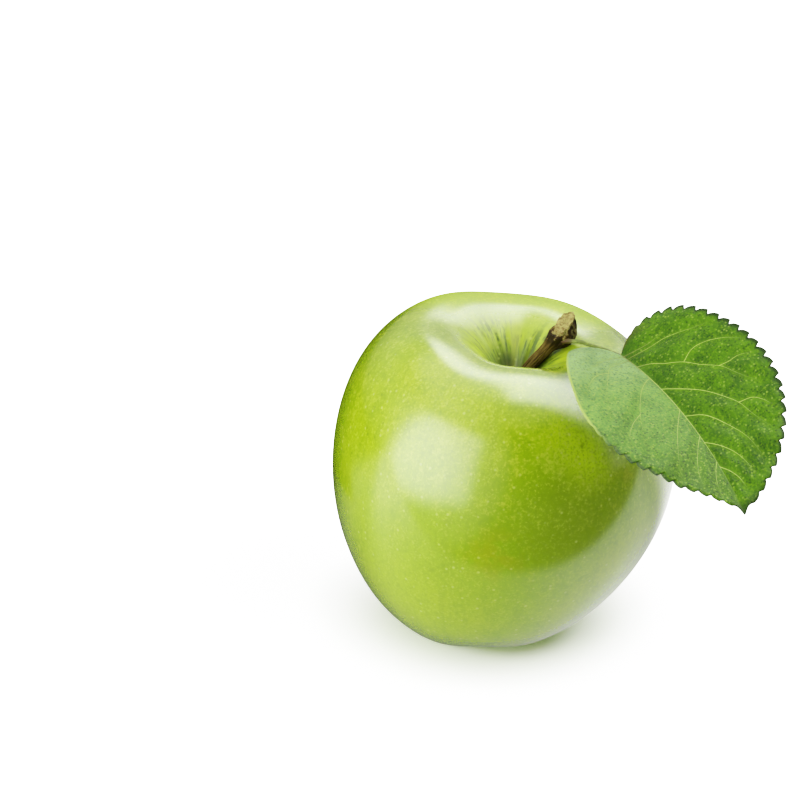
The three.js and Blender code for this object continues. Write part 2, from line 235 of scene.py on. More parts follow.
def finish(piece, name, nodes, paint):
    """Gives a piece its finish, whose paint says what goes into a Principled shader's sockets, and
    puts the piece on its body and in place of its nodes."""
    material = bpy.data.materials.new(name)
    material.use_nodes = True
    material.node_tree.nodes.clear()
    shade = Shade(material.node_tree)
    here = shade.node("ShaderNodeTexCoord", {}, {}, 3)
    shader = shade.node("ShaderNodeBsdfPrincipled", {}, paint(shade, here))
    shade.node("ShaderNodeOutputMaterial", {}, {0: shader})
    piece.data.materials.append(material)
    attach(piece, "root")
    if nodes:
        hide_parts(*nodes)


def ring_of(count):
    """Equal turns right round, in radians."""
    return np.linspace(0, 2 * np.pi, count, endpoint=False)


section = fruit_section()
turn = ring_of(360)
radius, height = section[:, :1], section[:, 1:]
skin = fruit_skin(radius, height, turn[None])
upper = height > GIRTH_HEIGHT
whole = np.ones_like(radius * turn[None])
fruit = closed_mesh("fruit_skin", [skin], {
    "from_middle": [radius * whole],
    "height": [height * whole],
    "cavity": [(upper & (radius < SHOULDER_RADIUS)) * whole * (1 - radius / SHOULDER_RADIUS)],
    "ray_across": [np.cos(turn[None]) * whole],
    "ray_back": [np.sin(turn[None]) * whole],
})


def skin_paint(shade, here):
    """Green that drifts from yellow to deep, mottled and flecked most on the shoulder, with faint
    darker meridians and pale pores. Pale and dark streaks radiate in the cavity, with a russet
    stain about the stem. Painted light brightens patches of the green, the cavity's slopes and the
    far rim; painted shade darkens a patch on the front right below the leaf, the depth of the
    cavity and a crescent in its throat. Clear wax lies over it, thin and matt in and behind the
    cavity."""
    middle, cavity = shade.mark("from_middle"), shade.mark("cavity")
    across, back, height = shade.mark("ray_across"), shade.mark("ray_back"), shade.mark("height")
    rays = shade.node("ShaderNodeCombineXYZ", {}, {0: across, 1: back, 2: middle * .02})
    drift = shade.noise(here, 22, 3, .55)
    cloud = shade.noise(here, 150, 4, .6)
    fine = shade.noise(here, 900, 3, .6)
    speck = shade.noise(here, 2000, 2, .6)
    shoulder = height.step(40, 58)
    # The green, with patches of painted light and painted shade, mottle and meridians.
    green = (drift * .75 + cloud * .25).step(.40, .66).blend(SKIN_GREEN, SKIN_YELLOW)
    # Painted light in patches.
    green = shade.patches(here, PAINTED_LIGHT_PATCHES).blend(green, SKIN_PAINTED_LIGHT)
    # Painted shade in a patch.
    green = shade.patches(here, PAINTED_SHADE_PATCHES).blend(green, SKIN_DEEP)
    # Painted light under the leaf's edge.
    green = shade.patches(here, PAINTED_BRIGHT_PATCHES).blend(green, SKIN_PAINTED_BRIGHT)
    mottle = cloud * .5 + fine * .5
    green = (mottle.step(.48, .32) * (shoulder * .15 + .7)).blend(green, SKIN_DEEP)
    green = (mottle.step(.50, .64) * shoulder * .7).blend(green, FLECK_PALE)
    green = (speck.step(.50, .34) * .6).blend(green, SKIN_DEEP)
    meridian = shade.node("ShaderNodeCombineXYZ", {}, {0: across, 1: back, 2: height * .003})
    green = (shade.noise(meridian, 24, 3, .65).step(.50, .36) * .35).blend(green, SKIN_DEEP)
    green = ((speck * .6 + fine * .4).step(.52, .64) * (shoulder * .35 + .5)).blend(green, FLECK_PALE)
    # The cavity, with painted light on its slopes and painted shade in its depth, and the matt skin in
    # and behind it.
    streak = shade.noise(rays, 8, 5, .75)
    blotch = shade.noise(here, 320, 2)
    inner = cavity.step(.22, .60)
    matt = middle.step(15.5, 18) * back.step(.3, .7) * height.step(60, 71)
    matt = matt + cavity.step(.2, .5) * .6 + cavity.step(.35, .65) * .25
    # Painted light: the cavity's slopes and the matt far rim behind it are lightened towards pale green.
    colour = (cavity.step(.05, .35) * .45 + matt * .3).blend(green, CAVITY_PALE)
    colour = (inner * streak.step(.50, .60)).blend(colour, CAVITY_PALE)
    colour = (inner * streak.step(.53, .41) * blotch.step(.34, .52)).blend(colour, CAVITY_DARK)
    # Painted shade: the deep part of the cavity darkens.
    colour = (cavity.step(.54, .80) * .9).blend(colour, CAVITY_DARK)
    back_ray = (across * across).step(.03, .002) * back.step(0, .5)
    colour = (back_ray * inner * .6).blend(colour, PORE_PALE)
    # Painted shade: a dark crescent in the throat of the cavity.
    colour = shade.patches(here, PAINTED_CREASE_SHADE_PATCHES).blend(colour, CREASE_SHADE_DARK)
    stain = middle.step(5.5, 1.8) * cavity.step(0, .1) * shade.noise(rays, 11, 3).step(.35, .6)
    colour = (stain * .8).blend(colour, RUSSET)
    blush = shade.patches(here, BLUSH_PATCHES) * shade.noise(here, 260, 3).step(.38, .62)
    colour = blush.blend(colour, BLUSH_ORANGE)
    # The pores: small round cells, of which some are pale and, on the left shoulder, some are dark.
    pores = shade.node("ShaderNodeTexVoronoi", {}, {"Vector": here, "Scale": 560.0, "Randomness": 1.0})
    which = shade.node("ShaderNodeSeparateColor", {}, {0: pores.other("Color")})
    pore = pores.step(.26, .10) * which.step(.45, .80)
    colour = (pore * .55).blend(colour, PORE_PALE)
    dark_pore = pores.step(.28, .14) * which.step(.32, .22) * shade.patches(here, DARK_PORE_PATCHES)
    colour = dark_pore.blend(colour, CAVITY_DARK)
    grain = shade.noise(here, 2600, 2) * .5 + shade.noise(here, 700, 2) + pore * .3
    bump = shade.node("ShaderNodeBump", {}, {"Height": grain, "Strength": .2, "Distance": .00002})
    return {
        "Base Color": colour, "Roughness": fine * .10 + matt * .3 + .18, "Normal": bump, "IOR": 1.65,
        "Coat Weight": 1 - matt * .85, "Coat Roughness": .13, "Coat IOR": 1.6,
        "Subsurface Weight": .08, "Subsurface Radius": (.6, .8, .05), "Subsurface Scale": .003,
    }


finish(fruit, "waxy_green_skin", ["fruit"], skin_paint)

# ---------------------------------------------------------------- the stem
# The woody stalk that the apple hung from: a ridged brown shaft that leans out of the cavity and
# thickens to a knuckle, where it tore from the spur and left a pale, slanting broken face.
STEM_RADIUS, STEM_HEAD_RADIUS = 1.22, 2.2
STEM_SINK = 2.5  # length of the stem inside the flesh
STEM_HEEL, HEEL_WAY = 1.2, np.array([.85, -.1, -.5])  # lip under the knuckle, and its direction
STEM_BREAK_TILT, BREAK_WAY = 1.3, np.array([-.62, -.7, .35])  # slope of the broken face
STEM_CUTS, FACE_CUTS = 240, 24
STEM_LINE = [
    CAVITY_FLOOR + (-1.2, 0, -STEM_SINK), CAVITY_FLOOR, (9.9, .2, 63.9), (13.3, 1.2, 67.3),
    (15.9, 1.7, 70.3), (17.5, 2.1, 72.6), (17.9, 2.3, 74.2),
]
BARK_BROWN, BARK_DARK, BARK_TAN = (.100, .062, .007), (.032, .020, .003), (.215, .150, .035)
WOOD_PALE, WOOD_SHADE = (.470, .415, .160), (.235, .178, .058)


def smooth_line(points, count):
    """A line through the points: each takes the slope between its neighbours, a cubic joins each
    pair, and the whole is cut into equal lengths."""
    p = np.array([list(point) for point in points], float)
    t = np.concatenate([[0], np.cumsum(np.linalg.norm(np.diff(p, axis=0), axis=1) ** .5)])
    slope = np.gradient(p, t, axis=0)
    u = np.linspace(0, t[-1], 40 * len(p))
    i = np.clip(np.searchsorted(t, u, side="right") - 1, 0, len(p) - 2)
    h = (t[i + 1] - t[i])[:, None]
    f = (u - t[i])[:, None] / h
    fine = (2 * f ** 3 - 3 * f ** 2 + 1) * p[i] + (f ** 3 - 2 * f ** 2 + f) * h * slope[i]
    fine = fine + (3 * f ** 2 - 2 * f ** 3) * p[i + 1] + (f ** 3 - f ** 2) * h * slope[i + 1]
    run = np.concatenate([[0], np.cumsum(np.linalg.norm(np.diff(fine, axis=0), axis=1))])
    cuts = np.linspace(0, run[-1], count)
    return np.stack([np.interp(cuts, run, fine[:, k]) for k in range(p.shape[1])], axis=1)


def unit(v):
    """The same direction with length one."""
    return v / np.linalg.norm(v, axis=-1, keepdims=True)


def rod(line, wide, deep, turn, lean):
    """Rings round a line: the line, plus wide times a cosine to the side and deep times a sine
    upwards, where the side stands square to the line and to the lean direction."""
    ahead = unit(np.gradient(line, axis=0))
    side = unit(np.cross(ahead, np.array(lean, float)))[:, None]
    rise = np.cross(side[:, 0], ahead)[:, None]
    shape = (len(line), len(turn))
    wide, deep = (np.broadcast_to(v, shape)[..., None] for v in (wide, deep))
    across = side * wide * np.cos(turn)[None, :, None]
    return line[:, None] + across + rise * deep * np.sin(turn)[None, :, None]


# The shaft: ridges run along it, and the knuckle is three-sided and knobbly.
turn = ring_of(120)
share = np.linspace(0, 1, STEM_CUTS)[:, None]
line = smooth_line(STEM_LINE, STEM_CUTS)
head = smooth(share, .66, .86)
ridges = .035 * np.cos(9 * turn + 3 * share) + .03 * np.cos(15 * turn - 5 * share + 1)
ridges = ridges + .02 * np.cos(26 * turn + 2)
knobs = .05 * np.cos(5 * turn + 23 * share) * np.cos(31 * share + 2 * turn)
knobs = knobs + .04 * np.cos(11 * turn - 37 * share)
reach = STEM_RADIUS * (.95 + .25 * smooth(share, .2, .7)) + (STEM_HEAD_RADIUS - STEM_RADIUS * 1.2) * head
reach = reach * (1 + head * (.08 * np.cos(3 * turn + 1) + .05 * np.cos(7 * turn) + knobs))
reach = reach * (1 - .18 * smooth(share, .85, 1)) * (1 + ridges * (1 - head * .4))
shaft = rod(line, reach, reach, turn, (0, -1, 0))
heel = unit(HEEL_WAY)
beyond = np.maximum(unit(shaft - line[:, None]) @ heel, 0)
lip = STEM_HEEL * beyond ** 2 * smooth(share, .70, .84) * smooth(share, .98, .86)
shaft = shaft + heel * lip[..., None]
ahead = unit(np.gradient(line, axis=0))[:, None]
slide = -STEM_BREAK_TILT * smooth(share, .78, 1) * ((shaft - line[:, None]) @ unit(BREAK_WAY))
shaft = shaft + ahead * slide[..., None]
# The broken face: rings that shrink to its middle, splintered along the stem and a little hollow.
inward = np.linspace(.97, .03, FACE_CUTS)[:, None]
middle = shaft[-1].mean(axis=0)
splinter = .16 * np.cos(7 * turn + 9 * inward) * np.cos(17 * inward + 1)
splinter = splinter + .09 * np.cos(19 * turn) * inward - .18 * (1 - inward)
face = middle + (shaft[-1] - middle)[None] * inward[..., None] + ahead[-1] * splinter[..., None]
face_ones = np.ones((FACE_CUTS, len(turn)))
face_mark = np.concatenate([smooth(share, .93, 1) * np.ones_like(turn), face_ones])
up_mark = np.concatenate([share * np.ones_like(turn), face_ones])
stem = closed_mesh("woody_stem", [np.concatenate([shaft, face])], {
    "broken": [face_mark],
    "up": [up_mark],
    "ray_across": [np.cos(turn) * np.ones_like(up_mark)],
    "ray_up": [np.sin(turn) * np.ones_like(up_mark)],
})


def bark_paint(shade, here):
    """Brown bark streaked tan and dark along the shaft, patched pale and dark on the knuckle, and pale
    tan fibrous wood on the broken face. Painted shade darkens its right side and its foot in the
    cavity."""
    broken, up, across = shade.mark("broken"), shade.mark("up"), shade.mark("ray_across")
    places = {0: across, 1: shade.mark("ray_up"), 2: up * 1.6}
    around = shade.node("ShaderNodeCombineXYZ", {}, places)
    streak = shade.noise(around, 3.2, 4, .6)
    grain = shade.noise(here, 1500, 3, .6)
    lumps = shade.noise(here, 520, 3, .6)
    colour = streak.step(.44, .60).blend(BARK_BROWN, BARK_TAN)
    colour = streak.step(.47, .36).blend(colour, BARK_DARK)
    knuckle, patch = up.step(.68, .78), lumps + up * .8
    colour = (knuckle * patch.step(1.25, 1.33)).blend(colour, WOOD_PALE)
    colour = (knuckle * patch.step(1.27, 1.17)).blend(colour, BARK_DARK)
    # Painted shade: the right side of the shaft darkens.
    colour = (across.step(.3, .8) * .6).blend(colour, BARK_DARK)
    # Painted shade: the stem darkens where it goes down into the cavity.
    colour = (up.step(.26, .12) * .5).blend(colour, CAVITY_DARK)
    fibre = grain.step(.36, .60).blend(WOOD_SHADE, WOOD_PALE)
    colour = broken.step(.35, .75).blend(colour, fibre)
    relief = {"Height": streak + lumps * knuckle, "Strength": .8, "Distance": .0003}
    bump = shade.node("ShaderNodeBump", {}, relief)
    return {"Base Color": colour, "Roughness": grain * .2 + .55, "Normal": bump, "IOR": 1.3}


finish(stem, "brown_stem_bark", ["stem"], bark_paint)

# ---------------------------------------------------------------- the leaf
# One fresh leaf, hung from the spur's knuckle by a thin stalk that runs on below it as the
# midrib. The blade folds up along the midrib, droops to a drawn-out point, swells between its
# side veins and has blunt teeth that lean forwards.
LEAF_BASE = np.array([29.9, -10.1, 71.3])  # where the stalk meets the blade
LEAF_LENGTH, LEAF_THICKNESS = 57.3, .42
LEAF_HEADING = math.radians(62)  # from the right towards the front
LEAF_ROLL = math.radians(11)  # round the midrib
LEAF_DROOP = math.radians(26.8)  # bend of the midrib down, from base to tip
LEAF_BOW = math.radians(-11.7)  # bend of the midrib to the side
LEAF_FOLD, LEAF_FOLD_LOSS = math.radians(25.4), .66  # lift of each half; share lost at the tip
TEETH, TOOTH_HEIGHT, TOOTH_LEAN = 28, 1.25, .70  # to a side; share of a tooth that rises
TIP_WEAR = .3  # how much shorter than its full length the blade is
SWELL_HEIGHT, SWELL_REACH = .30, 1.7  # of the sheet between its veins
TOOTH_ROWS, BLADE_COLUMNS = 12, 58  # rows of points to a tooth, points from midrib to margin
# Each half's outline: its width, where it is widest, how far its curves' handles reach there, at
# the base and at the tip, and the teeth over which they grow to full size.
HALVES = {
    1: {
        "half": 22.8, "widest": .43, "back": .23, "ahead": .33, "base_back": .23, "base_rise": .70,
        "tip_back": .06, "tip_rise": .38, "teeth_from": (.5, 5),
    },
    -1: {
        "half": 24.0, "widest": .43, "back": .20, "ahead": .29, "base_back": .25, "base_rise": .49,
        "tip_back": .11, "tip_rise": .07, "teeth_from": (13, 19),
    },
}
# The side veins of each half, as places ahead of the blade's base and out from the midrib.
SIDE_VEINS = {
    1: [
        [(1.0, 0), (2.0, 2.2), (3.2, 5.5), (4.0, 9.5)],
        [(2.6, 0), (4.4, 5), (5.5, 8.6), (7.1, 11.4), (9, 14.7), (10.6, 18.2)],
        [
            (6.6, 0), (8.9, 2.6), (11.9, 4.8), (15.1, 8.1),
            (18.4, 10.3), (22.6, 13.2), (26.2, 14.8), (31, 17.8),
        ],
        [(14.9, 8.0), (13.7, 11.2), (14.2, 14.2), (16.5, 17.6), (20.2, 21)],
        [(22.2, 13), (22.8, 15.2), (22.9, 17.6), (24.2, 20.4)],
        [(17, 0), (19.2, 2), (24, 6.2), (28.8, 9.1), (32.8, 11.3), (36.6, 12.3), (41.5, 13.9)],
        [(32.8, 11.3), (33.6, 14.3), (35.5, 15.9), (37.9, 17)],
        [(27.6, 0), (30.4, 3.4), (35.3, 6.3), (38.7, 7.8), (41.9, 8.7), (46.6, 9.4)],
        [(36.5, 0), (39.5, 2.6), (43, 4.6), (46.4, 5.6), (49.3, 6)],
        [(44, 0), (46.2, 1.5), (49, 2.6), (51.6, 3)],
    ],
    -1: [
        [(1.4, 0), (2.2, 3.2), (4.4, 8.4), (8.2, 14.0)],
        [(3.4, 0), (5.4, 4.6), (7.1, 7.6), (12.6, 11.6), (17.2, 14.6), (21.6, 17), (25.4, 18.6)],
        [(9.2, 9.4), (10.4, 13.2), (13.4, 17), (16.4, 19.4)],
        [(12.2, 0), (13.4, 1.7), (17.9, 6), (23.3, 9.5), (28.7, 12.1), (33.2, 13.6), (37.6, 14.4)],
        [(24.8, 10.3), (27.4, 13.8), (30.6, 16.4), (33.4, 17.4)],
        [(25.2, 0), (27.5, 1.6), (31.8, 4.5), (36, 6.9), (40.6, 9), (44.4, 9.8)],
        [(34.4, 0), (37.4, 2.2), (41.2, 4.4), (45, 5.8), (48, 6.2)],
        [(42.4, 0), (45, 1.6), (48, 2.8), (50.8, 3.2)],
    ],
}
LEAF_GREEN, LEAF_DEEP, LEAF_BRIGHT = (.086, .205, .003), (.040, .110, .003), (.180, .320, .010)
LEAF_SHEEN_PAINTED, LEAF_SHEEN_PAINTED_PALE, LEAF_UNDER = (.176, .365, .047), (.285, .475, .168), (.200, .320, .120)
VEIN_PALE, TOOTH_DARK, BASE_BROWN = (.400, .540, .110), (.020, .048, .004), (.090, .060, .016)


def on_leaf(s, w, side):
    """(point, normal) of the blade s ahead of its base and w out from the midrib, on side 1 or -1:
    the midrib droops on one circle and bows on another, and each half lifts by the fold."""
    along = np.array([math.cos(LEAF_HEADING), -math.sin(LEAF_HEADING), 0])
    up = math.cos(LEAF_ROLL) * np.array([0, 0, 1.0]) + math.sin(LEAF_ROLL) * np.cross(along, (0, 0, 1))
    right = np.cross(up, along)
    reach = np.maximum(s, 0)
    bend = LEAF_DROOP / LEAF_LENGTH * reach
    ahead = np.where(s > 0, np.sin(bend) * LEAF_LENGTH / LEAF_DROOP, s)
    drop = (1 - np.cos(bend)) * LEAF_LENGTH / LEAF_DROOP
    fold = LEAF_FOLD * (1 - LEAF_FOLD_LOSS * np.clip(s / LEAF_LENGTH, 0, 1))
    sideways = .5 * LEAF_BOW * reach ** 2 / LEAF_LENGTH + side * w * np.cos(fold)
    off = up * np.cos(bend)[..., None] + along * np.sin(bend)[..., None]
    point = LEAF_BASE + along * ahead[..., None] - up * drop[..., None] + right * sideways[..., None]
    point = point + off * (w * np.sin(fold))[..., None]
    return point, off * np.cos(fold)[..., None] - right * (side * np.sin(fold))[..., None]


def blade_half(side, margin, share):
    """Flat places (ahead, out) of one half: rows go from base to tip by equal lengths of the
    margin and columns from midrib to margin, where each tooth rises slowly and drops off fast."""
    half, length = HALVES[side], LEAF_LENGTH - TIP_WEAR
    wide, top = half["half"], half["widest"]
    widest = (top * length, wide)
    round_base = (-half["base_back"] * length, half["base_rise"] * wide)
    round_tip = (length * (1 - half["tip_back"]), wide * half["tip_rise"])
    to_widest = [(0, 0), round_base, ((top - half["back"]) * length, wide), widest]
    to_tip = [widest, ((top + half["ahead"]) * length, wide), round_tip, (length, 0)]
    t = np.linspace(0, 1, 600)
    outline = np.concatenate([bezier(to_widest, t), bezier(to_tip, t)[1:]])
    run = np.concatenate([[0], np.cumsum(np.linalg.norm(np.diff(outline, axis=0), axis=1))])
    place = np.stack([np.interp(margin * run[-1], run, outline[:, k]) for k in range(2)], axis=-1)
    ahead = unit(np.gradient(place, axis=0))
    tooth = margin * TEETH
    phase = tooth % 1
    size = smooth(tooth, *half["teeth_from"]) * (1 - .5 * smooth(tooth, 23, TEETH))
    climb = np.sin(phase / TOOTH_LEAN * np.pi / 2) ** .8
    fall = np.cos(np.clip((phase - TOOTH_LEAN) / (1 - TOOTH_LEAN), 0, 1) * np.pi / 2) ** .7
    rise = np.where(phase < TOOTH_LEAN, climb, fall)
    near_edge = np.clip((share - .8) / .2, 0, 1) ** 1.6
    lift = (TOOTH_HEIGHT * size * (rise - .74))[:, None] * near_edge[None]
    x, y, dx, dy = (v[:, None] for v in (place[:, 0], place[:, 1], ahead[:, 0], ahead[:, 1]))
    s = (margin * length)[:, None] * (1 - share) + x * share - dy * lift + dx * np.maximum(lift, 0)
    taper = 1 - .55 * smooth(margin, .945, .985)[:, None]
    return s, (y * share + dx * lift + dy * np.maximum(lift, 0)) * taper


def vein_field(side, s, w):
    """How far each flat place lies from the nearest side vein or from the midrib, worked out for
    a few dozen points of the veins at a time."""
    lines = np.concatenate([smooth_line(vein, 60) for vein in SIDE_VEINS[side]])
    away = w * 1.3
    for part in np.array_split(lines, 12):
        gap = np.hypot(s[..., None] - part[:, 0], w[..., None] - part[:, 1])
        away = np.minimum(away, gap.min(axis=-1))
    return away


def ripple(s, w, side):
    """The blade's slow waves off its folded sheet: two slanting cosines, which die out at the
    midrib and halve towards the margin."""
    wave = .22 * np.cos(.36 * s + .21 * side * w + 1) + .14 * np.cos(.62 * s - .35 * w + 2 * side)
    return wave * smooth(w, 0, 9) * (1 - .5 * smooth(w, 14, 22))


def blade_sheet(side, margin, share):
    """Both faces of one half and its marks. The sheet swells by a bell curve away from its veins
    and thins to the margin, and each face lies half its thickness off it."""
    s, w = blade_half(side, margin, share)
    away = vein_field(side, s, w)
    point, normal = on_leaf(s, w, side)
    swell = SWELL_HEIGHT * (1 - np.exp(-(away / SWELL_REACH) ** 2))
    lift = ripple(s, w, side) + swell * (1 - .6 * smooth(share, .85, 1)[None])
    thick = LEAF_THICKNESS * .5 * (1 - .62 * smooth(share, .9, 1)[None] * np.ones_like(s))
    top, under = (point + normal * (lift + k * thick)[..., None] for k in (1, -1))
    edge = share[None] * np.ones_like(s)
    return top, under, {"ahead": s, "out": w * side, "vein": away, "edge": edge}


def right_round(top_left, top_right, under_right, under_left):
    """Rows that go right round the blade: over its upper face to the right and back below it."""
    rows = [top_left[:, ::-1], top_right[:, 1:], under_right[:, ::-1], under_left[:, 1:]]
    return np.concatenate(rows, axis=1)


margin = (np.arange(TEETH * TOOTH_ROWS) + .5) / (TEETH * TOOTH_ROWS)
share = (1 - np.cos(np.pi * np.linspace(0, 1, BLADE_COLUMNS))) / 2
top_right, under_right, marks_right = blade_sheet(1, margin, share)
top_left, under_left, marks_left = blade_sheet(-1, margin, share)
marks = {}
for key, left in marks_left.items():
    marks[key] = [right_round(left, marks_right[key], marks_right[key], left)]
above, below = np.zeros(top_left.shape[:2]), np.ones(top_left.shape[:2])
marks["under"] = [right_round(above, above, below, below)]
sheet = right_round(top_left, top_right, under_right, under_left)
blade = closed_mesh("leaf_blade", [sheet], marks)


def leaf_paint(shade, here):
    """Deep green above, peppered with dark and pale dots and brighter along the veins. A painted sheen
    makes the left half paler and greyer, most so at its base, and painted shade darkens the right
    half beside the midrib. Greyer below. Dark hard tips on the teeth, a pale margin where there
    are none, and brown at the base of the right half's margin."""
    under, edge, vein = shade.mark("under"), shade.mark("edge"), shade.mark("vein")
    ahead, out = shade.mark("ahead"), shade.mark("out")
    flat = shade.node("ShaderNodeCombineXYZ", {}, {0: ahead, 1: out})
    dots = shade.node("ShaderNodeTexVoronoi", {}, {"Vector": flat, "Scale": 1.5, "Randomness": 1.0})
    which = shade.node("ShaderNodeSeparateColor", {}, {0: dots.other("Color")})
    dot = dots.step(.50, .20)
    cloud = shade.noise(flat, .16, 4, .6)
    fleck = shade.noise(flat, 1.5, 4, .7)
    left = out.step(1.2, -1.2)
    # Painted shade on the right half beside the midrib, in the fold's crease.
    midrib_shade = out.step(9, 0) * out.step(-.3, .3) * ahead.step(44, 12)
    # Painted sheen: the left half is paler and greyer towards its base, palest near the base.
    colour = (left * ahead.step(46, 20)).blend(LEAF_GREEN, LEAF_SHEEN_PAINTED)
    colour = (left * ahead.step(22, 2)).blend(colour, LEAF_SHEEN_PAINTED_PALE)
    colour = (cloud.step(.58, .38) * (.75 - left * .4)).blend(colour, LEAF_DEEP)
    colour = (midrib_shade * .35).blend(colour, LEAF_DEEP)
    colour = (fleck.step(.50, .66) * .6).blend(colour, LEAF_BRIGHT)
    colour = (fleck.step(.50, .34) * .6).blend(colour, LEAF_DEEP)
    colour = (left * fleck.step(.50, .68) * .4).blend(colour, VEIN_PALE)
    colour = (dot * which.step(.50, .65) * .6).blend(colour, TOOTH_DARK)
    colour = (dot * which.step(.30, .15) * .4).blend(colour, VEIN_PALE)
    colour = (vein.step(.9, .1) * .20).blend(colour, LEAF_BRIGHT)
    colour = (under * .92).blend(colour, LEAF_UNDER)
    toothless = left * ahead.step(34, 24)
    colour = (edge.step(.940, .985) * (1 - toothless) * (.95 - left * .25)).blend(colour, TOOTH_DARK)
    colour = (edge.step(.972, .990) * toothless * ahead.step(-1, 4)).blend(colour, VEIN_PALE)
    brown = edge.step(.60, .95) * shade.spot(here, LEAF_BASE, 12) * (1 - left)
    colour = brown.blend(colour, BASE_BROWN)
    colour = (ahead.step(53, 56.5) * .9).blend(colour, TOOTH_DARK)
    relief = {"Height": fleck + dot * .4, "Strength": .6, "Distance": .00012}
    bump = shade.node("ShaderNodeBump", {}, relief)
    return {
        "Base Color": colour, "Roughness": under * .2 + fleck * .10 + .30, "Normal": bump, "IOR": 1.26,
        "Sheen Weight": .15, "Sheen Roughness": .4,
    }


finish(blade, "green_leaf_blade", ["leaf"], leaf_paint)
blade.visible_glossy = False

# The stalk: a thin olive cord from the knuckle to the blade's base, which goes on below the blade
# as the midrib and thins to the tip.
STALK_RADIUS, STALK_CUTS = .55, 320
STALK_ROUTE = [(21.3, -1, 70.7), (23.4, -3.2, 70.9), (25.5, -5.6, 71.2), (27.6, -7.8, 71.3)]
RIB_END, RIB_CUTS = .94, 9  # share of the blade that the midrib reaches
RIB_SINK, RIB_SINK_MORE = .30, .12  # how far it hangs below the sheet, and how much more at its base
STALK_OLIVE, STALK_BROWN = (.150, .190, .040), (.130, .070, .025)
spur = np.array(STEM_LINE[4])
toward = unit((LEAF_BASE - spur) * (1, 1, 0))
rib_share = np.linspace(0, RIB_END, RIB_CUTS)
rib_point, rib_normal = on_leaf(rib_share * LEAF_LENGTH, np.zeros(RIB_CUTS), 1)
rib = rib_point - rib_normal * (RIB_SINK + RIB_SINK_MORE * (1 - rib_share[:, None]))
turn = ring_of(24)
line = smooth_line([spur + toward * (STEM_HEAD_RADIUS * .8), *STALK_ROUTE, *rib], STALK_CUTS)
share = np.linspace(0, 1, STALK_CUTS)[:, None]
thick = STALK_RADIUS * (.8 - .2 * smooth(share, .2, .6) - .5 * smooth(share, .5, 1))
thick = thick * (1 + .5 * smooth(share, .05, 0))
thick = thick * (1 + .05 * np.cos(3 * turn) + .03 * np.cos(40 * share + 2 * turn))
rings = rod(line, thick, thick, turn, (0, 0, 1))
stalk = closed_mesh("leaf_stalk", [rings], {"up": [share * np.ones_like(turn)]})


def stalk_paint(shade, here):
    """Pale olive with a brown foot on the knuckle and faint streaks along it."""
    streak = shade.noise(here, 700, 3)
    colour = (streak.step(.5, .65) * .5).blend(STALK_OLIVE, VEIN_PALE)
    colour = shade.mark("up").step(.06, .005).blend(colour, STALK_BROWN)
    bump = shade.node("ShaderNodeBump", {}, {"Height": streak, "Strength": .4, "Distance": .0001})
    return {"Base Color": colour, "Roughness": streak * .2 + .4, "Normal": bump}


finish(stalk, "olive_leaf_stalk", [], stalk_paint)

# The veins: thin pale ridges let into the upper face, one down the middle and the rest forking
# from it towards the teeth, each thinner and greener as it goes.
MIDDLE_VEIN, MIDDLE_VEIN_RADIUS = [(0, 0), (20, 0), (38, 0), (52, 0)], .24
SIDE_VEIN_RADIUS = {1: .125, -1: .085}
VEIN_SINK = .01  # how deep a vein's middle lies in the upper face


def vein_ridge(side, flat_line, radius, cuts):
    """A thin ridge along a flat line on one half: its middle lies in the upper face, it is half
    as deep as wide, and it thins to a third."""
    flat = smooth_line(flat_line, cuts)
    s, w = flat[:, 0], flat[:, 1]
    point, normal = on_leaf(s, w, side)
    turn, share = ring_of(8), np.linspace(0, 1, cuts)[:, None]
    line = point + normal * (ripple(s, w, side) + LEAF_THICKNESS * .5 - VEIN_SINK)[:, None]
    thick = radius * (1 - .65 * share)
    return rod(line, thick, thick * .5, turn, unit(normal.mean(axis=0))), share * np.ones_like(turn)


ridges, fades = [], []
drawn_veins = [(1, MIDDLE_VEIN, MIDDLE_VEIN_RADIUS, 160)]
for side, listed in SIDE_VEINS.items():
    drawn_veins += [(side, vein, SIDE_VEIN_RADIUS[side], 60) for vein in listed]
for vein in drawn_veins:
    grid, fade = vein_ridge(*vein)
    ridges.append(grid)
    fades.append(fade)
veins = closed_mesh("leaf_veins", ridges, {"fade": fades})


def vein_paint(shade, here):
    """Pale yellow green at the root of a vein, the blade's green at its end."""
    patch = shade.noise(here, 500, 2)
    colour = (shade.mark("fade").step(.55, 1.1) + patch * .15).blend(VEIN_PALE, LEAF_GREEN)
    colour = (shade.spot(here, LEAF_BASE, 14) * .7).blend(colour, BASE_BROWN)
    return {"Base Color": colour, "Roughness": patch * .1 + .4}


finish(veins, "pale_leaf_veins", [], vein_paint)

# ---------------------------------------------------------------- the calyx
# What is left of the flower in the basin under the apple: a small woody disc, five dried sepals
# that curl over it, and a tuft of withered stamens and wool.
BASIN_CENTRE = np.array([.804, -.067, 6.690])
CALYX_RADIUS, CALYX_DISC_HEIGHT = 2.6, 1.6
SEPALS, SEPAL_WIDTH, SEPAL_DEPTH, SEPAL_TURN = 5, 2.4, .32, .3
SEPAL_CURVE = [(1.5, .3), (1.9, -2), (.5, -3), (3.2, -4.4)]  # (out, up) from the basin's middle
STAMENS, HAIRS = 22, 68
STAMEN_RADIUS, HAIR_RADIUS = .07, .03
UPWARDS = np.array([0, 0, 1.0])
SEPAL_BROWN, SEPAL_TIP, WOOL_GREY = (.120, .085, .040), (.040, .024, .012), (.420, .400, .300)


def calyx_disc():
    """The lumpy disc: a rod straight up from the basin's middle that narrows by a fifth."""
    turn, share = ring_of(40), np.linspace(0, 1, 30)[:, None]
    line = BASIN_CENTRE + UPWARDS * ((share - .5) * CALYX_DISC_HEIGHT + .5)
    wide = CALYX_RADIUS * (1 - .2 * share)
    wide = wide * (1 + .05 * np.cos(5 * turn) + .03 * np.cos(13 * turn + 9 * share))
    return rod(line, wide, wide, turn, (0, 1, 0)), share * 0 * turn


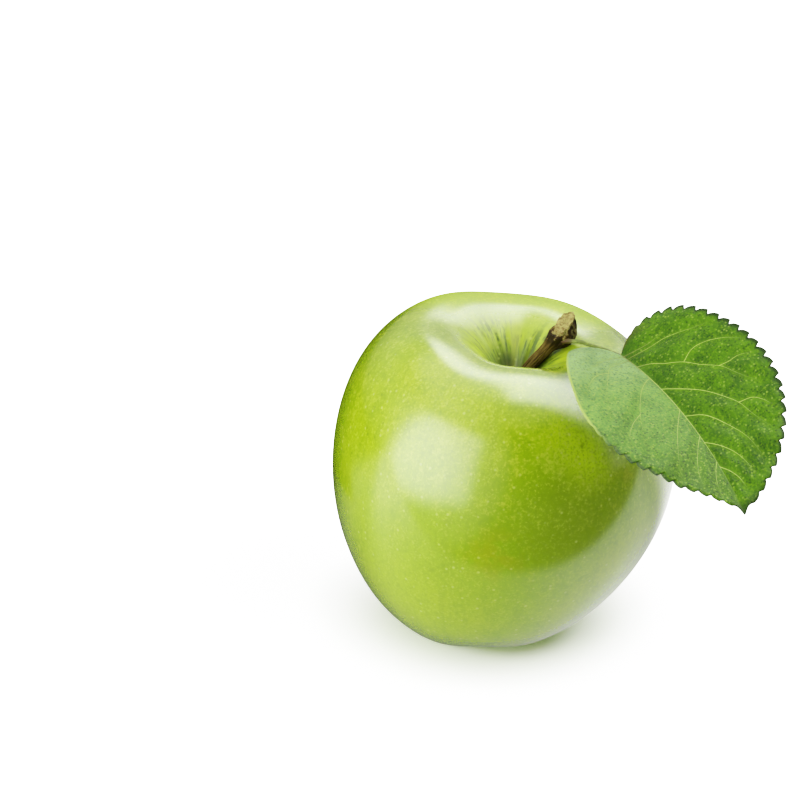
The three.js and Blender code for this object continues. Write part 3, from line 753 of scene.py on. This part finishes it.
def sepal(number):
    """A flat rod along the sepal's curve, pointed and wavy at its edges, with both edges and the
    whole curled back."""
    turn, share = ring_of(40), np.linspace(0, 1, 48)[:, None]
    heading = number / SEPALS * 2 * math.pi + SEPAL_TURN
    outward = np.array([math.cos(heading), math.sin(heading), 0])
    curve = bezier(SEPAL_CURVE, share[:, 0])
    line = BASIN_CENTRE + outward * curve[:, :1] + UPWARDS * curve[:, 1:]
    wide = SEPAL_WIDTH * .5 * (1 - .85 * share ** 1.6) * (1 + .06 * np.cos(9 * turn + 14 * share))
    grid = rod(line, wide, wide * 0 + SEPAL_DEPTH * .5, turn, outward + UPWARDS * .01)
    curl = .35 * (1 - .5 * share) * np.cos(turn) ** 2 + .08 * np.cos(17 * share + number)
    return grid - outward * curl[..., None], share * np.ones_like(turn)


def withered_thread(draw, stamen):
    """A thin rod that leans and bends at random: a stamen ends in a swollen head, and a hair of
    the wool tapers."""
    turn, share = ring_of(6), np.linspace(0, 1, 12)[:, None]
    heading, far, tall = draw.uniform(0, 2 * math.pi), draw.uniform(.1, 1.6), draw.uniform(1.2, 4.2)
    lean = draw.normal(0, .5, 2)
    root = np.array([math.cos(heading) * far, math.sin(heading) * far, .2])
    bend = np.concatenate([share * lean + share ** 2 * lean[::-1] * .6, -share * tall], axis=1)
    if stamen:
        thick, tip = STAMEN_RADIUS * (1 + 1.6 * smooth(share, .88, .97)), .5
    else:
        thick, tip = HAIR_RADIUS * (1 - .6 * share), -1
    return rod(BASIN_CENTRE + root + bend, thick, thick, turn, (1, .2, 0)), np.full((12, 6), tip)


draw = np.random.default_rng(7)
parts = [calyx_disc(), *(sepal(number) for number in range(SEPALS))]
parts += [withered_thread(draw, number < STAMENS) for number in range(STAMENS + HAIRS)]
calyx = closed_mesh("dried_calyx", [grid for grid, tip in parts], {"tip": [tip for grid, tip in parts]})


def calyx_paint(shade, here):
    """Grey brown, dark at the sepals' tips, with grey wool among them."""
    tip, grain = shade.mark("tip"), shade.noise(here, 1300, 4, .6)
    colour = (grain.step(.35, .65) * .6 + tip.step(.4, 1) * .5).blend(SEPAL_BROWN, SEPAL_TIP)
    colour = tip.step(-.2, -.8).blend(colour, WOOL_GREY)
    bump = shade.node("ShaderNodeBump", {}, {"Height": grain, "Strength": .7, "Distance": .0002})
    return {"Base Color": colour, "Roughness": grain * .1 + .8, "Normal": bump}


finish(calyx, "dried_brown_calyx", ["calyx"], calyx_paint)

# ---------------------------------------------------------------- the floor and the light
# A white sheet of card that the apple stands on, a big soft panel over and behind it to the
# right, a soft lamp low on the left, and no light from the front. Three sheets share the card's
# work: one is seen, with the fruit's shadow painted into its glow, one lights the fruit from
# below, and one is mirrored in its skin, with shade painted into its glow near the foot.
FLOOR_WHITE, FLOOR_GLOW, FLOOR_REACH = .86, 2.6, 2500
BOUNCE_GREY, BOUNCE_GLOW, SHINE_GLOW = .55, .72, 2
SHEET_GAP = .02  # millimetres from one sheet of the floor to the next below it
# The seen sheet's painted shadow: round the foot, where it touches, and to the left.
FOOT_PATCHES = [((2, 5.5, 0), 46, 1)]
TOUCH_PATCHES = [((6, -6, 0), 17, 3)]
LEFT_SHADE_PATCHES = [((-46, 22, 0), 50, .45)]
BOUNCE_PATCHES = [((-22, -24, 0), 80, 1), ((45, -20, 0), 60, .5)]
# Painted shade round the foot in the sheet that the skin mirrors.
MIRRORED_FOOT_PATCHES = [((0, 4, 0), 34, .65)]


def card(name, corners, colour, glow=0.0):
    """A plain matt sheet through rows of points in millimetres, two points to a row."""
    points = np.array(corners, float).reshape(-1, 3) * .001
    row = np.arange(0, len(points) - 2, 2)
    mesh = bpy.data.meshes.new(name)
    mesh.from_pydata(points.tolist(), [], np.stack([row, row + 1, row + 3, row + 2], axis=-1).tolist())
    sheet = bpy.data.objects.new(name, mesh)
    bpy.context.scene.collection.objects.link(sheet)
    material = bpy.data.materials.new(name)
    material.use_nodes = True
    sockets = material.node_tree.nodes["Principled BSDF"].inputs
    sockets["Base Color"].default_value = (*colour, 1)
    sockets["Roughness"].default_value = 1
    sockets["Specular IOR Level"].default_value = 0
    sockets["Emission Color"].default_value = (1, 1, 1, 1)
    sockets["Emission Strength"].default_value = glow
    sheet.data.materials.append(material)
    return sheet


def level_sheet(height):
    """Two rows of two points for a wide sheet that lies level at a height."""
    ends = (-FLOOR_REACH, FLOOR_REACH)
    return [(x, y, height) for y in ends for x in ends]


def glow_over(sheet, paint):
    """Lets a card shine by place: paint takes its shader tree and the place, and returns the
    share of its full glow."""
    shade = Shade(sheet.data.materials[0].node_tree)
    here = shade.node("ShaderNodeTexCoord", {}, {}, 3)
    glowing = shade.tree.nodes["Principled BSDF"].inputs["Emission Color"]
    shade.tree.links.new(paint(shade, here).blend((0, 0, 0), (1, 1, 1)).socket, glowing)
    return shade, here


def foot_shade(shade, here):
    """Full glow away from the fruit, with a painted shadow: less round its foot and to the left,
    least where it touches.
    """
    ring = (1 - shade.patches(here, FOOT_PATCHES) ** .6) ** 2.1
    touch = 1 - shade.patches(here, TOUCH_PATCHES)
    return ring * touch * (1 - shade.patches(here, LEFT_SHADE_PATCHES))


def foot_bounce(shade, here):
    """The card throws most light back up just in front of the foot and to its right."""
    return shade.patches(here, BOUNCE_PATCHES) + .1


def floor_mirrored(shade, here):
    """What the skin mirrors of the floor, by x and y in metres: bright on the right, beside and
    on the far left, and less far away; painted shade makes it dim behind the foot on the left and
    least bright close to the foot."""
    x = shade.node("ShaderNodeSeparateXYZ", {}, {0: here})
    y = x.other(1)
    right = x.step(-.020, .030) * (1 - y.step(0, .03) * .55) * .62
    beside = x.step(.01, .04) * y.step(.03, .06) * .9
    far = 1 - y.step(.10, .16) * .7
    left = x.step(-.02, -.2) * 1.6
    # Painted shade: dim behind the foot on the left, and least close to the foot.
    dim = 1 - x.step(.005, -.03) * y.step(-.022, .018) * (y.step(.03, .09) * .28 + .7)
    near = 1 - shade.patches(here, MIRRORED_FOOT_PATCHES)
    return (.38 + right + left + beside) * .5 * dim * far * near


floor = card("floor", level_sheet(0), (FLOOR_WHITE,) * 3, FLOOR_GLOW)
glow_over(floor, foot_shade)
floor.visible_diffuse = floor.visible_glossy = floor.visible_shadow = False
bounce = card("floor_bounce", level_sheet(-SHEET_GAP * 2), (BOUNCE_GREY,) * 3, BOUNCE_GLOW)
glow_over(bounce, foot_bounce)
bounce.visible_camera = bounce.visible_glossy = False

# The sheet that the skin mirrors ends softly in front, so that the dark room shows below the lamp.
shine = card("floor_shine", level_sheet(-SHEET_GAP), (0, 0, 0), SHINE_GLOW)
shine.visible_camera = shine.visible_diffuse = shine.visible_shadow = False
shade, here = glow_over(shine, floor_mirrored)
place_x = shade.node("ShaderNodeSeparateXYZ", {}, {0: here})
front_edge = (place_x.other(1) - .18 * place_x).step(-.056, -.044)
clear = shade.node("ShaderNodeBsdfTransparent", {}, {})
lit_sheet = Shade(shade.tree, shade.tree.nodes["Principled BSDF"].outputs[0])
fade = shade.node("ShaderNodeMixShader", {}, {0: front_edge, 1: clear, 2: lit_sheet})
shade.tree.links.new(fade.socket, shade.tree.nodes["Material Output"].inputs[0])

# A dark green card that only the skin mirrors, bent round the back on the left.
CARD_REACH, CARD_BACK, CARD_LOW, CARD_HIGH, CARD_GREEN = 95, 10, 8, 62, (.06, .10, .01)
posts = []
for way in np.radians(np.linspace(-80, 4, 15)):
    post = (CARD_REACH * math.sin(way), CARD_BACK + CARD_REACH * math.cos(way))
    posts += [(*post, CARD_LOW), (*post, CARD_HIGH)]
dim_left = card("dim_left", posts, CARD_GREEN)
dim_left.visible_camera = dim_left.visible_diffuse = dim_left.visible_shadow = False

# A weak fill low on the left, which the skin doesn't mirror.
LOW_FILL_SIZE, LOW_FILL_WATTS = .26, .9
LOW_FILL_PLACE, LOW_FILL_TILT, LOW_FILL_TURN = (-.32, -.20, .075), math.radians(86), math.radians(-58)
low_fill = bpy.data.lights.new("low_fill", "AREA")
low_fill.size, low_fill.energy = LOW_FILL_SIZE, LOW_FILL_WATTS
low_fill_stand = bpy.data.objects.new("low_fill", low_fill)
low_fill_stand.location = LOW_FILL_PLACE
low_fill_stand.rotation_euler = (LOW_FILL_TILT, 0, LOW_FILL_TURN)
low_fill_stand.visible_glossy = low_fill_stand.visible_camera = False
bpy.context.scene.collection.objects.link(low_fill_stand)

# All round: the lamp, the panel and the dark room, which light the apple, and plain white to the eye.
LAMP_AZIMUTH, LAMP_ELEVATION, BACKDROP_GLOW = -124, 13, 4.0
world = bpy.data.worlds.new("studio")
bpy.context.scene.world = world
world.use_nodes = True
world.node_tree.nodes.clear()
world.cycles.sampling_method = "NONE"
sky = Shade(world.node_tree)
toward = sky.node("ShaderNodeTexCoord", {}, {}, 0)


def heading(azimuth, elevation):
    """The direction at an azimuth from straight back, to the right, and a height, in degrees."""
    a, e = math.radians(azimuth), math.radians(elevation)
    return (math.sin(a) * math.cos(e), math.cos(a) * math.cos(e), math.sin(e))


def facing(direction):
    """How nearly a ray points in a direction: the cosine between them."""
    return sky.node("ShaderNodeVectorMath", {"operation": "DOT_PRODUCT"}, {0: toward, 1: direction}, 1)


# The lamp, told by how far across and up a ray meets it: bright at heart, with a slanting right
# edge and a faint halo.
lamp = facing(heading(LAMP_AZIMUTH, LAMP_ELEVATION))
lamp_across = facing(heading(LAMP_AZIMUTH + 90, 0)) / lamp
lamp_up = facing(heading(LAMP_AZIMUTH, LAMP_ELEVATION + 90)) / lamp
lamp_edges = lamp_across.step(-.75, -.50) * (lamp_across + .47 * lamp_up).step(.62, .24)
lamp_edges = lamp_edges * lamp_up.step(.70, .45) * lamp_up.step(-.62, -.34)
lamp_heart = (lamp_across - .15) * (lamp_across - .15) + (lamp_up + .05) * (lamp_up + .05)
lamp_halo = (lamp_across + .3) * (lamp_across + .3) * .5 + lamp_up * lamp_up * .35
lamp_face = lamp_edges * (lamp_heart.step(.55, 0) * 1.1 + 2.2)
glow = lamp.step(0, .1) * (lamp_face + lamp_halo.step(.9, .1) * .6)

# The panel: soft overhead, brightest high behind on the right, faint low on the right and left.
rise = facing((0, 0, 1))
from_back = facing((0, 1, 0))
overhead = rise.step(.70, .92) * (from_back.step(-.5, .3) * .5 + .5)
wedge = facing(heading(85, 0)).step(-.06, .10) * facing(heading(-5, 0)).step(-.35, .10)
right_wedge = facing(heading(104, 0)).step(-.04, .10) * facing(heading(18, 0)).step(-.06, .08)
behind = wedge * (rise.step(.36, .80) * 4.2 + rise.step(-.02, .06) * .2)
behind = behind + right_wedge * rise.step(-.03, .02) * .5
left_back = facing(heading(-60, 0)).step(-.1, .4) * (rise.step(-.05, .1) * .28 + rise.step(.1, .45) * .35)
seen = sky.node("ShaderNodeLightPath", {}, {}, 0)
mirrored = seen.other("Is Glossy Ray") * .15 + .85
light = (sky.maths("MAXIMUM", overhead, behind) + glow + left_back + .01) * mirrored
lit = sky.node("ShaderNodeBackground", {}, {"Color": (1, 1, 1, 1), "Strength": light})
plain = sky.node("ShaderNodeBackground", {}, {"Color": (1, 1, 1, 1), "Strength": BACKDROP_GLOW})
backdrop = sky.node("ShaderNodeMixShader", {}, {0: seen, 1: lit, 2: plain})
sky.node("ShaderNodeOutputWorld", {}, {0: backdrop})

# ---------------------------------------------------------------- the camera
# Straight on from the front, 25 degrees above the floor and 700 mm away, with a long lens.
CAMERA_ELEVATION, CAMERA_AWAY = math.radians(25), 700.0
IMAGE_SIDE, CAMERA_SIGHT = 800, 3045.0  # pixels, and the lens's length in pixels
AIM, AIM_PIXEL = np.array([0, 0, 36.6]), (483.6, 475.9)  # a place in the fruit, and where it shows
FILM_WIDTH = 36
FILM_WHITE = 3  # light that comes out as pure white
FILM_CURVE = [(.02, .012), (.2, .19), (.5, .48), (.9, .72), (1.4, .88), (2.0, .96)]
look = np.array([0, math.cos(CAMERA_ELEVATION), -math.sin(CAMERA_ELEVATION)])
lift = np.array([0, math.sin(CAMERA_ELEVATION), math.cos(CAMERA_ELEVATION)])
aside = (AIM_PIXEL[0] - IMAGE_SIDE / 2) / CAMERA_SIGHT * CAMERA_AWAY
above = (IMAGE_SIDE / 2 - AIM_PIXEL[1]) / CAMERA_SIGHT * CAMERA_AWAY
stand = AIM + FOOT - look * CAMERA_AWAY - np.array([1, 0, 0]) * aside - lift * above
camera_data = bpy.data.cameras.new("camera")
camera_data.sensor_width = FILM_WIDTH
camera_data.lens = FILM_WIDTH * CAMERA_SIGHT / IMAGE_SIDE
camera = bpy.data.objects.new("camera", camera_data)
camera.location = tuple(stand * .001)
camera.rotation_euler = (math.pi / 2 - CAMERA_ELEVATION, 0, 0)
bpy.context.scene.collection.objects.link(camera)
bpy.context.scene.camera = camera
film = bpy.context.scene.view_settings
film.view_transform = "Standard"
film.use_curve_mapping = True
film.curve_mapping.white_level = (FILM_WHITE,) * 3
for light_in, light_out in FILM_CURVE:
    film.curve_mapping.curves[3].points.new(light_in / FILM_WHITE, light_out)
film.curve_mapping.update()
bpy.context.scene.cycles.use_denoising = True

bpy.context.view_layer.update()
